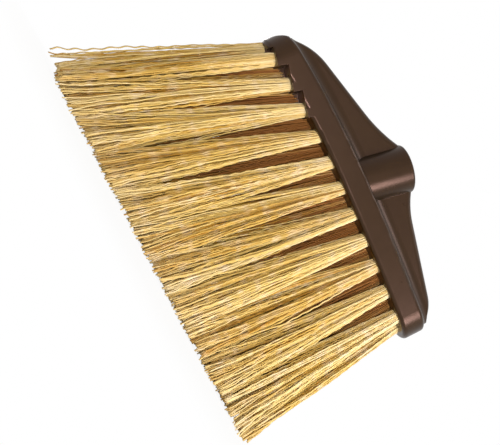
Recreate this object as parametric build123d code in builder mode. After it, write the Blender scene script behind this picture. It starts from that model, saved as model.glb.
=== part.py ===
from build123d import *
import os
from math import asin, cos, degrees, radians, sin, sqrt, tan

os.makedirs("parts", exist_ok=True)

# An angle broom's head, standing on its bristle tips: X along the block, Y across it, Z up.
# Sizes are in millimetres and angles in degrees. Negative X is the end where the bristles flare out.

# Bar, which bows down from under the handle socket towards both of its ends
bar_left = 115.5
bar_right = 120.9
bar_thickness = 40.0
bar_height = 17.2
left_bow = 9.0
right_bow = 3.4
lower_edge_radius = 3.0
top_edge_radius = 2.6

# Web that rises from the bar to the handle socket
web_thickness = 13.0
web_left_x = 82.4
web_left_height = 28.4
web_left_shoulder_x = 40.0
web_left_shoulder_height = 39.4
web_right_x = 100.0
web_right_height = 28.1
web_right_shoulder_x = 46.0
web_right_shoulder_height = 39.5
web_edge_radius = 4.5
web_tuck = 2.0
web_top_gap = 0.3
cove_radius = 10.0
cove_sink = 0.3
cove_root_depth = 3.0
cove_inset = 0.3

# Round noses at the bar's ends: where they end below its upper edge, how far under the web's, how round
left_nose_depth = 8.5
right_nose_depth = 2.5
bar_nose_drop = 1.2
bar_nose_radius = 9.0
cove_nose_drop = 2.4

# Handle socket
socket_outer_diameter = 35.4
socket_height = 52.2
socket_lean = 9.7
socket_root_depth = 8.0
socket_edge_radius = 1.5
thread_bore_diameter = 19.2
thread_bore_floor = 18.2
thread_mouth_chamfer = 1.2

# Tufts, trimmed flat on a line that the block is a little tilted to, with its flared end higher
trim_height = 142.0
block_tilt = 1.5
tuft_pitch = 20.0
front_tufts = 11
row_spacing = 11.0
hole_diameter = 8.0
hole_depth = 12.5
fan_lean = -10.1
fan_per_pitch = 2.27
left_end_turn = 3.2
right_end_turn = 4.5
row_splay = 3.0

# Stepped seats, nearly square to the tufts that lean far
seat_least_lean = 16.0
seat_lean_share = 0.72
seat_ahead = 6.2
first_seat_back = 6.8
seat_overlap = 0.3
seat_thickness = 0.55 * tuft_pitch

# Folded root of each tuft and the wire that pins it
root_clearance = 0.1
anchor_bite = 1.0
anchor_thickness = 0.6
anchor_height = 2.4
anchor_slot_clearance = 0.1
fold_thickness = 2.5

# Strands of each tuft
strands_per_tuft = 12
strand_root_side = 1.0
strand_tip_side = 2.0
strand_embed = 2.0
tip_gap_along = 7.5
tip_gap_across = 2.0
golden_angle = 137.508

# How far cutting bodies reach past what they cut
overcut = 1.5
tool_reach = 12.0

left_radius = (bar_left**2 + left_bow**2) / (2 * left_bow)
right_radius = (bar_right**2 + right_bow**2) / (2 * right_bow)
root_radius = hole_diameter / 2 - root_clearance
root_length = hole_depth - root_clearance
strand_root_reach = root_radius - strand_root_side
tilt_x = sin(radians(block_tilt))
tilt_z = cos(radians(block_tilt))


def face_height(x):
    # Height of the bowed tuft face at x along the block from its middle, both in the block's own frame
    radius = left_radius if x < 0 else right_radius
    return trim_height - radius + sqrt(radius**2 - x**2)


class Tuft:
    # One tuft's place and lean in the block's own frame, and its slopes from the upright
    def __init__(self, name, pitches, row, end_turn, first):
        self.name = name
        self.first = first
        self.row = row
        self.x = pitches * tuft_pitch
        self.y = row * row_spacing
        self.lean = fan_lean + fan_per_pitch * pitches + end_turn
        self.z = face_height(self.x)
        self.stepped = self.lean < -seat_least_lean
        self.slope_x = tan(radians(self.lean - block_tilt))
        self.slope_y = row * tan(radians(row_splay))

    def tip(self):
        # Where the tuft's middle line meets the floor
        height = self.z * tilt_z - self.x * tilt_x
        along = self.x * tilt_z + self.z * tilt_x
        return along + self.slope_x * height, self.y + self.slope_y * height

    def plane(self, lean_share=1.0):
        # Origin on the tuft face, local Z into the block along the hole, or at a share of its lean
        slope_x = tan(radians(self.lean * lean_share - block_tilt))
        inward = Vector(-slope_x, -self.slope_y, 1).normalized()
        sideways = Vector(0, 1, 0).cross(inward)
        place = block_plane.from_local_coords((self.x, self.y, self.z))
        return Plane(origin=place, x_dir=sideways, z_dir=inward)

    def seat_back(self):
        # How far a stepped seat runs back: to the riser of the one before it, or to the tooth at the end
        if self.first and self.row:
            return first_seat_back
        turn = radians(self.lean * seat_lean_share)
        rise = self.z - face_height(self.x - tuft_pitch)
        return tuft_pitch * cos(turn) + rise * sin(turn) - seat_ahead


def row_of_tufts(side, row, count, first_turn=0.0, last_turn=0.0):
    tufts = []
    for index in range(count):
        pitches = index - (count - 1) / 2
        end_turn = first_turn if index == 0 else last_turn if index == count - 1 else 0.0
        tufts.append(Tuft(f"{side}_tuft_{index + 1:02d}", pitches, row, end_turn, index == 0))
    return tufts


# The middle row is half a pitch out of step and has one tuft more, which turns a little at each end
front_row = row_of_tufts("front", -1, front_tufts)
middle_row = row_of_tufts("middle", 0, front_tufts + 1, left_end_turn, right_end_turn)
back_row = row_of_tufts("back", 1, front_tufts)
all_tufts = front_row + middle_row + back_row

# Half-sizes of each tuft's spread on the floor, so that neighbours keep their tip gaps
front_tips = [tuft.tip() for tuft in front_row]
closest_tips = min(b[0] - a[0] for a, b in zip(front_tips, front_tips[1:]))
closest_rows = min(abs(tip[1]) for tip in front_tips)
spread_x = (closest_tips - tip_gap_along - strand_tip_side) / 2
spread_y = (closest_rows - tip_gap_across - strand_tip_side) / 2


def strand_pattern(tuft):
    # Unit places of the strands in a tuft: a sunflower spiral, mirrored in the back row
    mirror_y = -1 if tuft.row > 0 else 1
    places = []
    for index in range(strands_per_tuft):
        reach = sqrt((index + 0.5) / strands_per_tuft)
        turn = radians(index * golden_angle)
        places.append((reach * cos(turn), mirror_y * reach * sin(turn)))
    return places


# The block is placed so that the strand tips are centred on X
tip_middles = []
for tuft in all_tufts:
    tip_middles += [tuft.tip()[0] + spread_x * place[0] for place in strand_pattern(tuft)]
block_x = -(min(tip_middles) + max(tip_middles)) / 2

# The tilted block's own frame, its cross-section, and the socket's leaning planes
block_plane = Plane(origin=(block_x, 0, 0), x_dir=(tilt_z, 0, -tilt_x), z_dir=(tilt_x, 0, tilt_z))
block_middle = block_plane.offset(trim_height).origin
cross_section = Plane(origin=block_plane.origin, x_dir=(0, 1, 0), z_dir=block_plane.x_dir)
lean_x = sin(radians(socket_lean))
lean_z = cos(radians(socket_lean))
socket_turn = radians(socket_lean + block_tilt)
socket_side = (cos(socket_turn), 0, -sin(socket_turn))
socket_axis = (sin(socket_turn), 0, cos(socket_turn))
socket_plane = Plane(origin=block_middle, x_dir=socket_side, z_dir=socket_axis)
socket_root = socket_plane.offset(socket_root_depth)
socket_top = socket_plane.offset(socket_height)
socket_radius = socket_outer_diameter / 2
thread_bore_depth = socket_height - thread_bore_floor
middle_height = trim_height + bar_height / 2


def elevation(drop):
    # Side view of the block, moved down by a drop
    return Plane(origin=block_plane.offset(-drop).origin, x_dir=block_plane.x_dir, z_dir=(0, -1, 0))


def plan_body(inset):
    # Round-ended body that trims the bar, its seats, web and coves to their plan
    with BuildPart() as body:
        with BuildSketch(block_plane.offset(trim_height - left_bow - tool_reach)):
            with Locations(((bar_right - bar_left) / 2, 0)):
                SlotOverall(bar_left + bar_right - 2 * inset, bar_thickness - 2 * inset)
        extrude(amount=left_bow + socket_height + 2 * tool_reach)
    return body.part


def bow_arc(side_length, offset):
    # Half of the bowed tuft face's line, from its top towards one end, moved up by an offset
    top = (0, trim_height + offset)
    halfway = (side_length / 2, face_height(side_length / 2) + offset)
    end = (side_length, face_height(side_length) + offset)
    return ThreePointArc(top, halfway, end)


def nose_lines():
    # Straight slopes of the web, and the round noses that they run out in
    left_end = (-bar_left, face_height(-bar_left) + bar_height - left_nose_depth)
    right_end = (bar_right, face_height(bar_right) + bar_height - right_nose_depth)
    left_slope = Line(
        (-web_left_shoulder_x, trim_height + web_left_shoulder_height),
        (-web_left_x, trim_height + web_left_height),
    )
    right_slope = Line(
        (web_right_shoulder_x, trim_height + web_right_shoulder_height),
        (web_right_x, trim_height + web_right_height),
    )
    left_nose = TangentArc(left_slope @ 1, left_end, tangent=left_slope % 1)
    right_nose = TangentArc(right_slope @ 1, right_end, tangent=right_slope % 1)
    return left_slope, left_nose, right_slope, right_nose


def web_outline():
    # Upper line of the web: its slopes and noses, and hollow curves up to the socket
    left_slope, left_nose, right_slope, right_nose = nose_lines()
    up = socket_height - web_top_gap
    out = socket_radius - web_tuck
    top_left = (up * lean_x - out * lean_z, trim_height + up * lean_z + out * lean_x)
    top_right = (up * lean_x + out * lean_z, trim_height + up * lean_z - out * lean_x)
    TangentArc(left_slope @ 0, top_left, tangent=-(left_slope % 0))
    TangentArc(right_slope @ 0, top_right, tangent=-(right_slope % 0))
    Line(top_left, top_right)
    return left_nose @ 1, right_nose @ 1


def off_middle(edge):
    # True but for the edge across the bar where its two bows meet
    return abs(edge.center().X - block_middle.X) > overcut


def cove_side(turn_y, radius, side_length):
    # Hollow-flanked foot of the web on one side of the socket, bent about the bow's own centre
    shelf = trim_height + bar_height - cove_sink
    foot = shelf - cove_root_depth
    half_web = web_thickness / 2
    half_foot = half_web + cove_radius
    bow_axis = Axis(block_plane.offset(trim_height - radius).origin, (0, turn_y, 0))
    sweep_angle = degrees(asin((side_length + tool_reach) / radius))
    with BuildPart() as side:
        with BuildSketch(cross_section):
            with BuildLine():
                RadiusArc((-half_foot, shelf), (-half_web, shelf + cove_radius), -cove_radius)
                RadiusArc((half_web, shelf + cove_radius), (half_foot, shelf), -cove_radius)
                Line((-half_web, shelf + cove_radius), (half_web, shelf + cove_radius))
                Polyline((-half_foot, shelf), (-half_foot, foot), (half_foot, foot), (half_foot, shelf))
            make_face()
        revolve(axis=bow_axis, revolution_arc=sweep_angle)
    return side.part


def seat_sketch(tuft, back, ahead):
    # Rectangle on a tuft's seat plane, over its own row's share of the bar's thickness
    half_row = row_spacing / 2
    to_side = bar_thickness / 2 - row_spacing + overcut if tuft.row else half_row
    middle_y = tuft.row * (to_side - half_row) / 2
    with BuildSketch(tuft.plane(seat_lean_share)) as seat:
        with Locations(((ahead - back) / 2, middle_y)):
            Rectangle(ahead + back, half_row + to_side)
    return seat.sketch


def strand(tuft, place):
    # One tapered four-sided strand, from inside the folded root to a flat tip on the floor
    tip_x, tip_y = tuft.tip()
    root_x = strand_root_reach * place[0]
    root_y = strand_root_reach * place[1]
    start = tuft.plane().from_local_coords((root_x, root_y, strand_embed))
    end = (tip_x + block_x + spread_x * place[0], tip_y + spread_y * place[1])
    with BuildPart() as lock:
        with BuildSketch(Plane.XY.offset(start.Z)):
            with Locations((start.X, start.Y)):
                Rectangle(strand_root_side, strand_root_side)
        with BuildSketch(Plane.XY):
            with Locations(end):
                Rectangle(strand_tip_side, strand_tip_side)
        loft(ruled=True)
    return lock.part


trim_body = plan_body(0)

# Body that rounds off the bar's ends, a little below the web's noses
with BuildPart() as nose_body:
    with BuildSketch(elevation(bar_nose_drop)):
        with BuildLine():
            left_slope, left_nose, right_slope, right_nose = nose_lines()
            left_foot = left_nose @ 1 + (left_nose % 1) * 2 * tool_reach
            right_foot = right_nose @ 1 + (right_nose % 1) * 2 * tool_reach
            Polyline(left_nose @ 1, left_foot, right_foot, right_nose @ 1)
            Line(left_slope @ 0, right_slope @ 0)
        make_face()
    extrude(amount=bar_thickness / 2, both=True)
    side_faces = nose_body.faces().filter_by(Axis.Y)
    fillet(side_faces.edges().filter_by(GeomType.CIRCLE), radius=bar_nose_radius)

# Bar with rounded edges
with BuildPart() as bar:
    with BuildSketch(elevation(0)):
        with BuildLine():
            lower_left = bow_arc(-bar_left - tool_reach, 0)
            lower_right = bow_arc(bar_right + tool_reach, 0)
            upper_left = bow_arc(-bar_left - tool_reach, bar_height)
            upper_right = bow_arc(bar_right + tool_reach, bar_height)
            Line(lower_left @ 1, upper_left @ 1)
            Line(lower_right @ 1, upper_right @ 1)
        make_face()
    extrude(amount=bar_thickness, both=True)
    add(trim_body, mode=Mode.INTERSECT)
    lower_edges = bar.faces().sort_by(Axis.Z)[:2].edges()
    fillet(lower_edges.filter_by(off_middle), radius=lower_edge_radius)
    top_edges = bar.faces().sort_by(Axis.Z)[-2:].edges()
    fillet(top_edges.filter_by(off_middle), radius=top_edge_radius)
    add(nose_body.part, mode=Mode.INTERSECT)

# Steps in the tuft face: the part of each seat that is cut into the bar, and the part that stands proud
stepped_tufts = [tuft for tuft in all_tufts if tuft.stepped]
with BuildPart() as seat_cuts:
    for tuft in stepped_tufts:
        extrude(seat_sketch(tuft, tuft.seat_back() + seat_overlap, 0), amount=-tool_reach)
with BuildPart() as seats:
    for tuft in stepped_tufts:
        extrude(seat_sketch(tuft, 0, seat_ahead), amount=seat_thickness)
    add(trim_body, mode=Mode.INTERSECT)

# Web with rounded upper edges
with BuildPart() as web:
    with BuildSketch(elevation(0)):
        with BuildLine():
            Line(*web_outline())
        make_face()
    extrude(amount=web_thickness / 2, both=True)
    side_faces = web.faces().filter_by(Axis.Y)
    upper_edges = side_faces.edges().filter_by(lambda edge: edge.center().Z > middle_height)
    fillet(upper_edges, radius=web_edge_radius)
    add(trim_body, mode=Mode.INTERSECT)

# Hollow flanks between the bar and the web, a little lower than the web
with BuildPart() as coves:
    add(cove_side(-1, left_radius, bar_left))
    add(cove_side(1, right_radius, bar_right))
    with BuildSketch(elevation(cove_nose_drop)):
        with BuildLine():
            Line(*web_outline())
        make_face()
    extrude(amount=bar_thickness / 2, both=True, mode=Mode.INTERSECT)
    add(plan_body(top_edge_radius + cove_inset), mode=Mode.INTERSECT)

# Socket with a rounded mouth, and the bore for the handle's thread
with BuildPart() as socket:
    with BuildSketch(socket_root):
        Circle(socket_radius)
    extrude(amount=socket_height - socket_root_depth)
    mouth_face = socket.faces().sort_by_distance(socket_top.origin)[0]
    fillet(mouth_face.edges(), radius=socket_edge_radius)
with BuildPart() as bore:
    with BuildSketch(socket_top):
        Circle(thread_bore_diameter / 2)
    extrude(amount=-thread_bore_depth)
    with BuildSketch(socket_top):
        Circle(thread_bore_diameter / 2 + thread_mouth_chamfer)
    with BuildSketch(socket_top.offset(-thread_mouth_chamfer)):
        Circle(thread_bore_diameter / 2)
    loft()

# Block: all of these in one moulding, with its tuft holes
with BuildPart() as block:
    add(bar.part)
    add(seat_cuts.part, mode=Mode.SUBTRACT)
    add(seats.part)
    add(coves.part)
    add(web.part)
    add(socket.part)
    add(bore.part, mode=Mode.SUBTRACT)
    with BuildSketch(*[tuft.plane().offset(-overcut) for tuft in all_tufts]):
        Circle(hole_diameter / 2)
    extrude(amount=hole_depth + overcut, mode=Mode.SUBTRACT)
block.part.label = "block"
export_step(block.part, "parts/block.step")

# Flat wire anchors, one across each folded root, biting into the walls of its hole
anchor_level = root_length - fold_thickness - anchor_height
with BuildPart() as tuft_anchors:
    with BuildSketch(*[tuft.plane().offset(anchor_level) for tuft in all_tufts]):
        Rectangle(hole_diameter + 2 * anchor_bite, anchor_thickness)
    extrude(amount=anchor_height)
tuft_anchors.part.label = "tuft_anchors"
export_step(tuft_anchors.part, "parts/tuft_anchors.step")

# Tufts: a folded root with a slot for its anchor, and the strands that grow out of it
slot_width = anchor_thickness + 2 * anchor_slot_clearance
slot_height = anchor_height + 2 * anchor_slot_clearance
for tuft in all_tufts:
    with BuildPart() as root:
        with BuildSketch(tuft.plane()):
            Circle(root_radius)
        extrude(amount=root_length)
        with BuildSketch(tuft.plane().offset(anchor_level - anchor_slot_clearance)):
            Rectangle(hole_diameter, slot_width)
        extrude(amount=slot_height, mode=Mode.SUBTRACT)
    strands = Compound(children=[strand(tuft, place) for place in strand_pattern(tuft)])
    with BuildPart() as bunch:
        add(root.part.fuse(strands))
    bunch.part.label = tuft.name
    export_step(bunch.part, f"parts/{tuft.name}.step")
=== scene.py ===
import math

import bpy
import numpy as np
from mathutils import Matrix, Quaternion, Vector


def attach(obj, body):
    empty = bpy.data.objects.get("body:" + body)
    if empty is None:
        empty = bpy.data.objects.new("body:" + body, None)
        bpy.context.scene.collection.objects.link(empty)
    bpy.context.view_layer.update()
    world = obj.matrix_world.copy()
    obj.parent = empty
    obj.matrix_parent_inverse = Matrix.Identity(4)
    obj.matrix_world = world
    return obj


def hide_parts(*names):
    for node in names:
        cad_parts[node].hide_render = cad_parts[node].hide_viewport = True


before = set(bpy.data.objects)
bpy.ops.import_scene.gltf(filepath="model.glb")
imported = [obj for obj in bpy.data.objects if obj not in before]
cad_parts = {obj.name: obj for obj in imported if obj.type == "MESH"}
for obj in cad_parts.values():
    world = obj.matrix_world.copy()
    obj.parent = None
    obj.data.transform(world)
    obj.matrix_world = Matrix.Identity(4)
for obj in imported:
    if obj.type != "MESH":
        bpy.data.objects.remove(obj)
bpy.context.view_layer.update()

# Lengths are in metres. X runs along the block, Y across it and Z up, and the floor is at z = 0.
mm = 0.001

# Photograph's view
camera_place = Vector((-41.72, -482.94, 25.41)) * mm
camera_aim = Vector((13.72, 0.0, 74.6)) * mm
camera_roll = math.radians(62.96)
camera_lens = 50.0
camera_sensor = 36.0

# Filaments of a tuft
filaments_per_tuft = 100
locks_per_tuft = 26
filament_sides = 3
golden_angle = math.radians(137.508)
filament_radius = 0.62 * mm
thickness_range = (0.8, 1.15)
root_depth = 7.0 * mm
hole_radius = 3.6 * mm
collar_radius = 4.7 * mm
collar_length = 6.0 * mm
slow_opening = 0.55
tip_reach_along = 18.0 * mm
tip_reach_across = 10.0 * mm
lock_circle = 0.8
lock_scatter = 0.10
lock_pull = 0.70
tip_scatter = 0.06
inner_spread = 1.35
inner_pull = 0.3
inner_bow = 0.3
loose_share = 0.08
loose_reach = 1.5
lock_rise = 3.0 * mm
tip_rise = 1.2 * mm
lowest_tip = 0.15 * mm
crimp_length = 9.0 * mm
crimp_height = 0.28 * mm
crimp_height_range = (0.5, 1.4)
crimp_turn = 0.8
crimp_onset = 0.125
crimp_disorder = 1.0
crimp_drift = 0.07
rings_per_crimp = 5
lock_bow = 1.6 * mm
filament_bow = lock_bow / 5
wander_length = 48.0 * mm
wander_height = 0.7 * mm

# Ends of the swept line, past which the outer tufts hardly reach, and the strays of the flared end
left_limit = -140.5 * mm
right_limit = 151.0 * mm
past_limit = 0.15
end_slant = 0.6
end_rise = 4.0 * mm
end_run = 8.0 * mm
bend_start = 0.05
bend_end = 0.75
bend_power = 1.1
stray_limit = -147.5 * mm
stray_filaments = 9
stray_scatter = 1.5 * mm
stray_depth = 3.0 * mm
stray_sag = 2.0 * mm
single_strays = 2
single_reach = 2.5 * mm
single_wave = 0.7 * mm
single_wave_range = (70.0, 90.0)

# Colour levels of the rows: the middle row is darkened with painted shade, standing in for the others'
# shade, but for its end tufts
end_tufts = ("middle_tuft_01", "middle_tuft_12")
front_tone = 0.65
# Painted shade: the middle row's colour is darkened near the block, easing towards the tips
middle_painted_shade = 0.06
# Painted shade: filaments deep inside a tuft are darkened, less so towards the tips
inner_painted_shade = 0.38
inner_painted_shade_fade = 0.25
painted_shade_fade_power = 2
lock_tone_spread = 0.10
filament_tone_spread = 0.06

# Thread in the handle socket
socket_mouth = Vector((30.06, 0.0, 193.16)) * mm
socket_lean = math.radians(11.2)
socket_bore_radius = 9.6 * mm
thread_pitch = 5.08 * mm
thread_height = 1.3 * mm
thread_root = 0.2 * mm
thread_root_width = 2.6 * mm
thread_crest_width = 1.0 * mm
thread_start = 4.5 * mm
thread_turns = 5.0
thread_steps_per_turn = 40
thread_runout = 0.25

# Floor, and the point that the lamps aim at
head_middle = Vector((0.0, 0.0, 0.09))
floor_reach = 6.0
floor_white = 0.92
shadow_share = 0.08
shadow_fade_start = 0.12
shadow_fade_end = 0.22


# Nodes of the materials
def new_material(name):
    made = bpy.data.materials.new(name)
    made.use_nodes = True
    made.node_tree.nodes.clear()
    return made, made.node_tree


def add_node(tree, kind, settings=None, **values):
    # A node with its own settings, its number and colour sockets, and links from other nodes' outputs
    node = tree.nodes.new(kind)
    for name, value in (settings or {}).items():
        setattr(node, name, value)
    for name, value in values.items():
        socket = node.inputs[name.replace("_", " ")]
        if isinstance(value, bpy.types.NodeSocket):
            tree.links.new(value, socket)
        else:
            socket.default_value = value
    return node


def ramp(tree, factor, stops):
    # A colour ramp through (place, colour) stops
    node = add_node(tree, "ShaderNodeValToRGB", Fac=factor)
    elements = node.color_ramp.elements
    while len(elements) < len(stops):
        elements.new(1.0)
    for element, (place, colour) in zip(elements, stops):
        element.position = place
        element.color = (*colour, 1.0)
    return node.outputs["Color"]


def grey(value):
    return (value, value, value)


def spread(tree, value, low, high):
    # A 0 to 1 value carried to another range
    node = add_node(tree, "ShaderNodeMapRange", Value=value, To_Min=low, To_Max=high)
    return node.outputs["Result"]


def product(tree, first, second):
    node = add_node(tree, "ShaderNodeMath", {"operation": "MULTIPLY"})
    tree.links.new(first, node.inputs[0])
    tree.links.new(second, node.inputs[1])
    return node.outputs["Value"]


def blend_colours(tree, share, first, second):
    node = tree.nodes.new("ShaderNodeMix")
    node.data_type = "RGBA"
    colours = [socket for socket in node.inputs if socket.type == "RGBA"]
    tree.links.new(share, node.inputs["Factor"])
    for socket, colour in zip(colours, (first, second)):
        if isinstance(colour, bpy.types.NodeSocket):
            tree.links.new(colour, socket)
        else:
            socket.default_value = (*colour, 1.0)
    return next(socket for socket in node.outputs if socket.type == "RGBA")


def noise(tree, place, scale, detail=3.0):
    node = add_node(tree, "ShaderNodeTexNoise", Vector=place, Scale=scale, Detail=detail)
    return node.outputs["Fac"]


def surface(tree, shader):
    output = tree.nodes.new("ShaderNodeOutputMaterial")
    tree.links.new(shader, output.inputs["Surface"])


def moulded_plastic():
    # Satin dark brown moulding: faint cloudiness and orange peel, with softened edges
    made, tree = new_material("moulded_plastic")
    place = tree.nodes.new("ShaderNodeTexCoord").outputs["Object"]
    cloud = noise(tree, place, 45.0)
    peel = noise(tree, place, 900.0, 2.0)
    scuff = noise(tree, place, 160.0, 6.0)
    colour = ramp(tree, cloud, [(0.3, (0.0125, 0.0071, 0.0018)), (0.7, (0.0161, 0.0093, 0.0025))])
    soft = add_node(tree, "ShaderNodeBevel", {"samples": 6}, Radius=0.5 * mm)
    bump = add_node(tree, "ShaderNodeBump", Strength=0.08, Distance=0.2 * mm, Height=peel)
    tree.links.new(soft.outputs["Normal"], bump.inputs["Normal"])
    shader = add_node(
        tree,
        "ShaderNodeBsdfPrincipled",
        Base_Color=colour,
        Roughness=spread(tree, scuff, 0.25, 0.33),
        Specular_IOR_Level=0.40,
        Specular_Tint=(1.0, 0.58, 0.48, 1.0),
        Normal=bump.outputs["Normal"],
    )
    surface(tree, shader.outputs["BSDF"])
    return made


def straw_filament():
    # Crimped straw-coloured filament: each has its own random colour, darkened by painted shade deep in
    # the tufts and along the middle row, with pale flecks of painted highlight, and paled by painted
    # light towards its ends
    made, tree = new_material("straw_filament")
    tone_and_shade = add_node(tree, "ShaderNodeAttribute", {"attribute_name": "tone_and_shade"}).outputs["Fac"]
    along = add_node(tree, "ShaderNodeAttribute", {"attribute_name": "along"}).outputs["Fac"]
    place = tree.nodes.new("ShaderNodeTexCoord").outputs["Object"]
    grain = noise(tree, place, 1500.0, 2.0)
    # The darker stops serve both the randomly darker filaments and the painted shade
    straw = ramp(
        tree,
        tone_and_shade,
        [
            (0.0, (0.29, 0.118, 0.031)),
            (0.30, (0.47, 0.245, 0.032)),
            (0.45, (0.57, 0.36, 0.082)),
            (0.62, (0.665, 0.478, 0.152)),
            (1.0, (0.80, 0.66, 0.36)),
        ],
    )
    # Painted light: filaments are paled near the block and near the tips
    painted_light_at_ends = ramp(
        tree,
        along,
        [
            (0.0, grey(0.55)),
            (0.15, grey(0.30)),
            (0.45, grey(0.0)),
            (0.75, grey(0.0)),
            (1.0, grey(0.30)),
        ],
    )
    # Painted highlight: pale flecks stand in for glints on the crimps of the paler filaments
    painted_highlight_patches = ramp(tree, noise(tree, place, 130.0, 1.0), [(0.5, grey(0.0)), (0.75, grey(0.9))])
    with_painted_highlights = blend_colours(tree, product(tree, painted_highlight_patches, tone_and_shade), straw, (0.80, 0.66, 0.48))
    colour = blend_colours(tree, product(tree, painted_light_at_ends, tone_and_shade), with_painted_highlights, (0.86, 0.74, 0.53))
    bump = add_node(tree, "ShaderNodeBump", Strength=0.2, Distance=0.05 * mm, Height=grain)
    shader = add_node(
        tree,
        "ShaderNodeBsdfPrincipled",
        Base_Color=colour,
        Roughness=spread(tree, grain, 0.5, 0.65),
        Specular_IOR_Level=0.12,
        Normal=bump.outputs["Normal"],
    )
    surface(tree, shader.outputs["BSDF"])
    return made


def drawn_wire():
    # Flat steel wire with drawing marks
    made, tree = new_material("drawn_wire")
    place = tree.nodes.new("ShaderNodeTexCoord").outputs["Object"]
    marks = noise(tree, place, 2500.0, 4.0)
    colour = ramp(tree, marks, [(0.3, (0.50, 0.49, 0.46)), (0.7, (0.66, 0.65, 0.62))])
    shader = add_node(
        tree,
        "ShaderNodeBsdfPrincipled",
        Base_Color=colour,
        Metallic=1.0,
        Roughness=spread(tree, marks, 0.3, 0.5),
    )
    surface(tree, shader.outputs["BSDF"])
    return made


def dress(piece, made):
    piece.data.materials.clear()
    piece.data.materials.append(made)


def new_piece(name, mesh, made):
    piece = bpy.data.objects.new(name, mesh)
    bpy.context.scene.collection.objects.link(piece)
    dress(piece, made)
    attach(piece, "root")
    return piece


# Bristles
def middle(points):
    return np.mean(points, axis=0)


def tuft_line(node):
    # A point on the tuft's middle line inside its hole, and where that line meets the floor
    points = np.array([vertex.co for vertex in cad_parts[node].data.vertices])
    heights = points[:, 2]
    root = middle(points[heights > heights.max() - root_depth])
    tip = middle(points[heights < lowest_tip])
    return root, tip


def sunflower(count):
    # Even places in a unit circle
    index = np.arange(count)
    reach = np.sqrt((index + 0.5) / count)
    turn = index * golden_angle
    return np.stack([reach * np.cos(turn), reach * np.sin(turn)], axis=1)


def held_in(reach):
    # Tips along X, kept inside the ends of the swept line but for a small share
    inside = np.clip(reach, stray_limit, right_limit)
    return inside + past_limit * (reach - inside)


def filament_paths(root, tip, inner, draws):
    # Middle lines of a tuft's filaments, as an array of filament, ring and coordinate
    slowness = 0.0 if inner else slow_opening
    spread_share = inner_spread if inner else 1.0
    pull = inner_pull if inner else lock_pull
    bow_share = inner_bow if inner else 1.0
    line = tip - root
    length = np.linalg.norm(line)
    rings = int(rings_per_crimp * length / crimp_length)
    share = np.linspace(0.0, 1.0, rings)
    seat = root_depth / length

    lock_places = sunflower(locks_per_tuft) * lock_circle
    lock_places += draws.normal(0.0, lock_scatter, lock_places.shape)
    lock_bows = draws.normal(0.0, lock_bow, lock_places.shape)
    lock_rises = lock_rise * draws.uniform(0.0, 1.0, locks_per_tuft)

    places = sunflower(filaments_per_tuft)
    nearest = ((places[:, None] - lock_places[None]) ** 2).sum(axis=2).argmin(axis=1)
    tip_places = places + pull * (lock_places[nearest] - places)
    tip_places += draws.normal(0.0, tip_scatter, places.shape)
    loose = draws.uniform(0.0, 1.0, filaments_per_tuft) < loose_share
    tip_places[loose] *= loose_reach
    tips = tip[:2] + tip_places * (tip_reach_along * spread_share, tip_reach_across)
    tips[:, 0] = held_in(tips[:, 0])

    bows = lock_bows[nearest] * bow_share + draws.normal(0.0, filament_bow, places.shape)
    phases = draws.normal(0.0, crimp_disorder, filaments_per_tuft)
    waves = length / crimp_length * draws.normal(1.0, crimp_drift, filaments_per_tuft)
    heights = crimp_height * draws.uniform(*crimp_height_range, filaments_per_tuft)
    crimp_turns = draws.normal(0.0, crimp_turn, filaments_per_tuft)
    wander_phases = draws.uniform(0.0, 2 * math.pi, (filaments_per_tuft, 2))
    rises = lowest_tip + lock_rises[nearest] + tip_rise * draws.uniform(0.0, 1.0, filaments_per_tuft)
    rises[loose] = lowest_tip
    rises += end_rise * np.clip((left_limit + end_run - tips[:, 0]) / end_run, 0.0, 1.0)

    paths = np.empty((filaments_per_tuft, rings, 3))
    for index in range(filaments_per_tuft):
        run = share * (1.0 - rises[index] / root[2])
        open_run = np.clip((run - seat) / (1.0 - seat), 0.0, 1.0)
        collar = np.clip(open_run * length / collar_length, 0.0, 1.0)
        radius = hole_radius + (collar_radius * spread_share - hole_radius) * collar * (2.0 - collar)
        wave = np.sin(2 * math.pi * run * waves[index] + phases[index])
        wave *= heights[index] * np.minimum(open_run / crimp_onset, 1.0)
        wander = np.sin(2 * math.pi * run[:, None] * length / wander_length + wander_phases[index])
        opening = open_run * (1.0 - slowness + slowness * open_run)
        offset = np.outer(radius * (1.0 - opening), places[index])
        offset += np.outer(opening, tips[index] - tip[:2])
        offset += np.outer(np.sin(math.pi * open_run), bows[index])
        offset += np.outer(wave, (math.sin(crimp_turns[index]), math.cos(crimp_turns[index])))
        offset += wander_height * open_run[:, None] * wander
        paths[index] = root + np.outer(run, line)
        paths[index, :, :2] += offset
    depths = 1.0 - np.linalg.norm(places, axis=1)
    return paths, nearest, depths


def filament_tones_and_shade(row_tone_and_shade, nearest, depths, rings, draws):
    # Colour levels by filament and ring: locks and filaments differ at random, and painted shade
    # darkens the middle row and the filaments deep in a tuft, most near the block
    along = np.linspace(0.0, 1.0, rings)
    own = draws.normal(0.0, lock_tone_spread, locks_per_tuft)[nearest]
    own += draws.normal(0.0, filament_tone_spread, len(nearest))
    # Painted shade: the middle row's darkening eases towards the tips
    tones_and_shade = row_tone_and_shade + (front_tone - row_tone_and_shade) * along**painted_shade_fade_power
    # Painted shade: filaments deep in a tuft are darker, most near the block
    tones_and_shade = tones_and_shade[None] - np.outer(inner_painted_shade * depths, 1.0 - inner_painted_shade_fade * along) + own[:, None]
    return np.clip(tones_and_shade, 0.0, 1.0)


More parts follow.
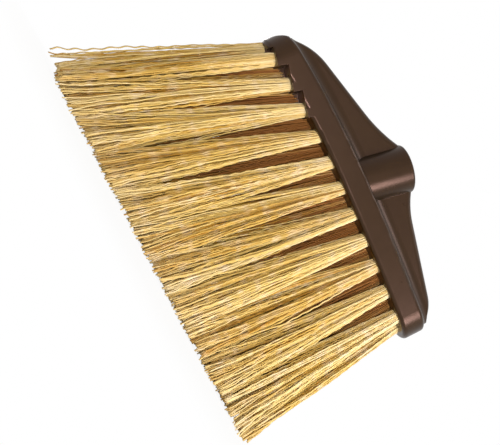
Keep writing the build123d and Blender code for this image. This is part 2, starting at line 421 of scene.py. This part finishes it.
def gather_end(paths, strays):
    # Bends the filaments of the flared end in to the swept line's end, but for the strays
    share = np.linspace(0.0, 1.0, paths.shape[1])
    bend = np.clip((share - bend_start) / (bend_end - bend_start), 0.0, 1.0) ** bend_power
    limits = left_limit + end_slant * np.abs(paths[:, -1, 1])
    past = np.maximum(limits - paths[:, -1, 0], 0.0) * (1.0 - past_limit)
    past[strays] = 0.0
    paths[:, :, 0] += np.outer(past, bend)


def stand_off(paths, draws):
    # Draws the flared end's outermost filaments together as strays, with wavy single ones past them
    strays = np.argsort(paths[:, -1, 0])[:stray_filaments]
    share = np.linspace(0.0, 1.0, paths.shape[1])
    for order, index in enumerate(strays):
        tip = paths[index, -1]
        paths[index, :, 0] += share**2 * (stray_limit + draws.uniform(0.0, stray_scatter) - tip[0])
        paths[index, :, 0] += stray_sag * np.sin(math.pi * share)
        paths[index, :, 1] += share**2 * (draws.uniform(-1.0, 1.0) * stray_depth - tip[1])
        if order < single_strays:
            wave = single_wave * np.sin(share * draws.uniform(*single_wave_range))
            paths[index, :, 0] -= share**3 * single_reach * (1.0 + order) + share * wave
    return strays


def filament_mesh(name, paths, tones_and_shade, draws):
    # Closed tubes along the paths, with their colour level, which holds painted shade, and share of
    # length kept on the points
    count, rings, _ = paths.shape
    corners = np.arange(filament_sides) * 2 * math.pi / filament_sides
    turns = draws.uniform(0.0, 2 * math.pi, count)
    angles = turns[:, None] + corners[None]
    thickness = filament_radius * draws.uniform(*thickness_range, count)
    section = np.zeros((count, 1, filament_sides, 3))
    section[:, 0, :, 0] = thickness[:, None] * np.cos(angles)
    section[:, 0, :, 1] = thickness[:, None] * np.sin(angles)
    points = (paths[:, :, None, :] + section).reshape(-1, 3)

    faces = []
    places = []
    column = 1.0 / count
    for filament in range(count):
        first = filament * rings * filament_sides
        left = filament * column
        for ring in range(rings - 1):
            low = (ring + 1) / (rings + 1)
            high = (ring + 2) / (rings + 1)
            for side in range(filament_sides):
                here = first + ring * filament_sides
                above = here + filament_sides
                after = (side + 1) % filament_sides
                faces.append((here + side, above + side, above + after, here + after))
                near = left + column * side / filament_sides
                far = left + column * (side + 1) / filament_sides
                places += [(near, low), (near, high), (far, high), (far, low)]
        last = first + (rings - 1) * filament_sides
        faces.append(tuple(range(first, first + filament_sides)))
        faces.append(tuple(reversed(range(last, last + filament_sides))))
        for level in (0.0, rings / (rings + 1)):
            top = level + 1.0 / (rings + 1)
            places += [(left, level), (left + column, level), (left + column / 2, top)]

    mesh = bpy.data.meshes.new(name)
    mesh.from_pydata(points.tolist(), [], faces)
    mesh.polygons.foreach_set("use_smooth", [len(face) > filament_sides for face in faces])
    layer = mesh.uv_layers.new(name="OFBake")
    layer.uv.foreach_set("vector", np.array(places, np.float32).ravel())
    shares = np.tile(np.repeat(np.linspace(0.0, 1.0, rings), filament_sides), count)
    # The colour level carries random differences together with painted shade
    for label, values in (("tone_and_shade", np.repeat(tones_and_shade, filament_sides)), ("along", shares)):
        attribute = mesh.attributes.new(label, "FLOAT", "POINT")
        attribute.data.foreach_set("value", values.astype(np.float32))
    mesh.validate()
    return mesh


def make_tuft(node, seed, made):
    draws = np.random.default_rng(seed)
    root, tip = tuft_line(node)
    inner = node.startswith("middle") and node not in end_tufts
    paths, nearest, depths = filament_paths(root, tip, inner, draws)
    gather_end(paths, stand_off(paths, draws) if node == end_tufts[0] else [])
    # Painted shade: the middle row, but for its end tufts, starts darker near the block
    tones_and_shade = filament_tones_and_shade(middle_painted_shade if inner else front_tone, nearest, depths, paths.shape[1], draws)
    name = f"{node}_filaments"
    piece = new_piece(name, filament_mesh(name, paths, tones_and_shade, draws), made)
    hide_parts(node)


def make_thread(made):
    # Helical ridge in the handle socket, run out to nothing at both ends
    steps = int(thread_turns * thread_steps_per_turn)
    turn = np.arange(steps + 1) * 2 * math.pi / thread_steps_per_turn
    down = thread_start + thread_pitch * turn / (2 * math.pi)
    axis = np.array((math.sin(socket_lean), 0.0, math.cos(socket_lean)))
    across = np.array((math.cos(socket_lean), 0.0, -math.sin(socket_lean)))
    outward = np.outer(np.cos(turn), across) + np.outer(np.sin(turn), (0.0, 1.0, 0.0))
    from_end = np.minimum(np.arange(steps + 1), np.arange(steps + 1)[::-1])
    full = np.minimum(from_end / (thread_runout * thread_steps_per_turn), 1.0)
    wall = np.full(steps + 1, socket_bore_radius + thread_root)
    crest = socket_bore_radius - thread_height * full
    corners = []
    for reach, half_width in ((wall, thread_root_width / 2), (crest, thread_crest_width / 2)):
        for way in (-half_width, half_width):
            along_axis = np.array(socket_mouth) - np.outer(down + way, axis)
            corners.append(along_axis + outward * reach[:, None])
    points = np.stack([corners[0], corners[1], corners[3], corners[2]], axis=1).reshape(-1, 3)
    faces = [(0, 1, 2, 3), tuple(4 * steps + corner for corner in (3, 2, 1, 0))]
    for step in range(steps):
        here = 4 * step
        for corner in range(4):
            after = (corner + 1) % 4
            faces.append((here + corner, here + 4 + corner, here + 4 + after, here + after))
    mesh = bpy.data.meshes.new("socket_thread")
    mesh.from_pydata(points.tolist(), [], faces)
    mesh.validate()
    mesh.shade_smooth()
    new_piece("socket_thread", mesh, made)


# Floor, light and camera
def make_floor():
    # White floor that shows a faint shadow near the head and is plain white further off
    mesh = bpy.data.meshes.new("floor")
    corners = [(x * floor_reach, y * floor_reach, 0.0) for x, y in ((-1, -1), (1, -1), (1, 1), (-1, 1))]
    mesh.from_pydata(corners, [], [(0, 1, 2, 3)])
    floor = bpy.data.objects.new("floor", mesh)
    bpy.context.scene.collection.objects.link(floor)
    made, tree = new_material("white_floor")
    lit = add_node(tree, "ShaderNodeBsdfDiffuse", Color=(*grey(floor_white), 1.0))
    glow = add_node(tree, "ShaderNodeEmission", Color=(1.0, 1.0, 1.0, 1.0), Strength=1.0)
    place = tree.nodes.new("ShaderNodeTexCoord").outputs["Object"]
    away = tree.nodes.new("ShaderNodeVectorMath")
    away.operation = "LENGTH"
    tree.links.new(place, away.inputs[0])
    plain = add_node(
        tree,
        "ShaderNodeMapRange",
        Value=away.outputs["Value"],
        From_Min=shadow_fade_start,
        From_Max=shadow_fade_end,
        To_Min=1.0 - shadow_share,
    )
    mixed = tree.nodes.new("ShaderNodeMixShader")
    tree.links.new(product(tree, seen_by_eye(tree), plain.outputs["Result"]), mixed.inputs["Fac"])
    tree.links.new(lit.outputs["BSDF"], mixed.inputs[1])
    tree.links.new(glow.outputs["Emission"], mixed.inputs[2])
    surface(tree, mixed.outputs["Shader"])
    mesh.materials.append(made)


def seen_by_eye(tree):
    # 1 for rays that reach the camera straight, or through gloss or glass
    paths = tree.nodes.new("ShaderNodeLightPath")
    total = paths.outputs["Is Camera Ray"]
    for name in ("Is Glossy Ray", "Is Transmission Ray"):
        larger = add_node(tree, "ShaderNodeMath", {"operation": "MAXIMUM"})
        tree.links.new(total, larger.inputs[0])
        tree.links.new(paths.outputs[name], larger.inputs[1])
        total = larger.outputs["Value"]
    return total


def make_world():
    world = bpy.data.worlds.new("studio")
    bpy.context.scene.world = world
    world.use_nodes = True
    tree = world.node_tree
    tree.nodes.clear()
    ambient = add_node(tree, "ShaderNodeBackground", Color=(1.0, 0.82, 0.58, 1.0), Strength=0.37)
    white = add_node(tree, "ShaderNodeBackground", Color=(1.0, 1.0, 1.0, 1.0), Strength=1.0)
    mixed = tree.nodes.new("ShaderNodeMixShader")
    tree.links.new(seen_by_eye(tree), mixed.inputs["Fac"])
    tree.links.new(ambient.outputs["Background"], mixed.inputs[1])
    tree.links.new(white.outputs["Background"], mixed.inputs[2])
    output = tree.nodes.new("ShaderNodeOutputWorld")
    tree.links.new(mixed.outputs["Shader"], output.inputs["Surface"])


def add_lamp(name, place, size, watts):
    lamp = bpy.data.lights.new(name, "AREA")
    lamp.size = size
    lamp.energy = watts
    holder = bpy.data.objects.new(name, lamp)
    holder.location = place
    holder.rotation_mode = "QUATERNION"
    holder.rotation_quaternion = (head_middle - holder.location).to_track_quat("-Z", "Y")
    bpy.context.scene.collection.objects.link(holder)


def make_camera():
    lens = bpy.data.cameras.new("camera")
    lens.lens = camera_lens
    lens.sensor_width = camera_sensor
    holder = bpy.data.objects.new("camera", lens)
    holder.location = camera_place
    holder.rotation_mode = "QUATERNION"
    level = (camera_aim - camera_place).to_track_quat("-Z", "Y")
    holder.rotation_quaternion = level @ Quaternion((0.0, 0.0, 1.0), camera_roll)
    bpy.context.scene.collection.objects.link(holder)
    bpy.context.scene.camera = holder


plastic = moulded_plastic()
straw = straw_filament()
wire = drawn_wire()
dress(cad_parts["block"], plastic)
dress(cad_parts["tuft_anchors"], wire)

tuft_nodes = sorted(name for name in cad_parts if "_tuft_" in name)
for seed, node in enumerate(tuft_nodes):
    make_tuft(node, seed, straw)
make_thread(plastic)

make_floor()
make_world()
add_lamp("key", place=(0.55, -0.59, 0.19), size=0.3, watts=5.2)
add_lamp("fill", place=(-0.05, -0.8, 0.07), size=0.12, watts=3.6)
add_lamp("edge", place=(0.23, -0.2, 1.0), size=0.3, watts=1.0)
add_lamp("back", place=(-0.3, 0.8, 0.25), size=0.5, watts=4.0)
make_camera()
bpy.context.scene.view_settings.view_transform = "Standard"
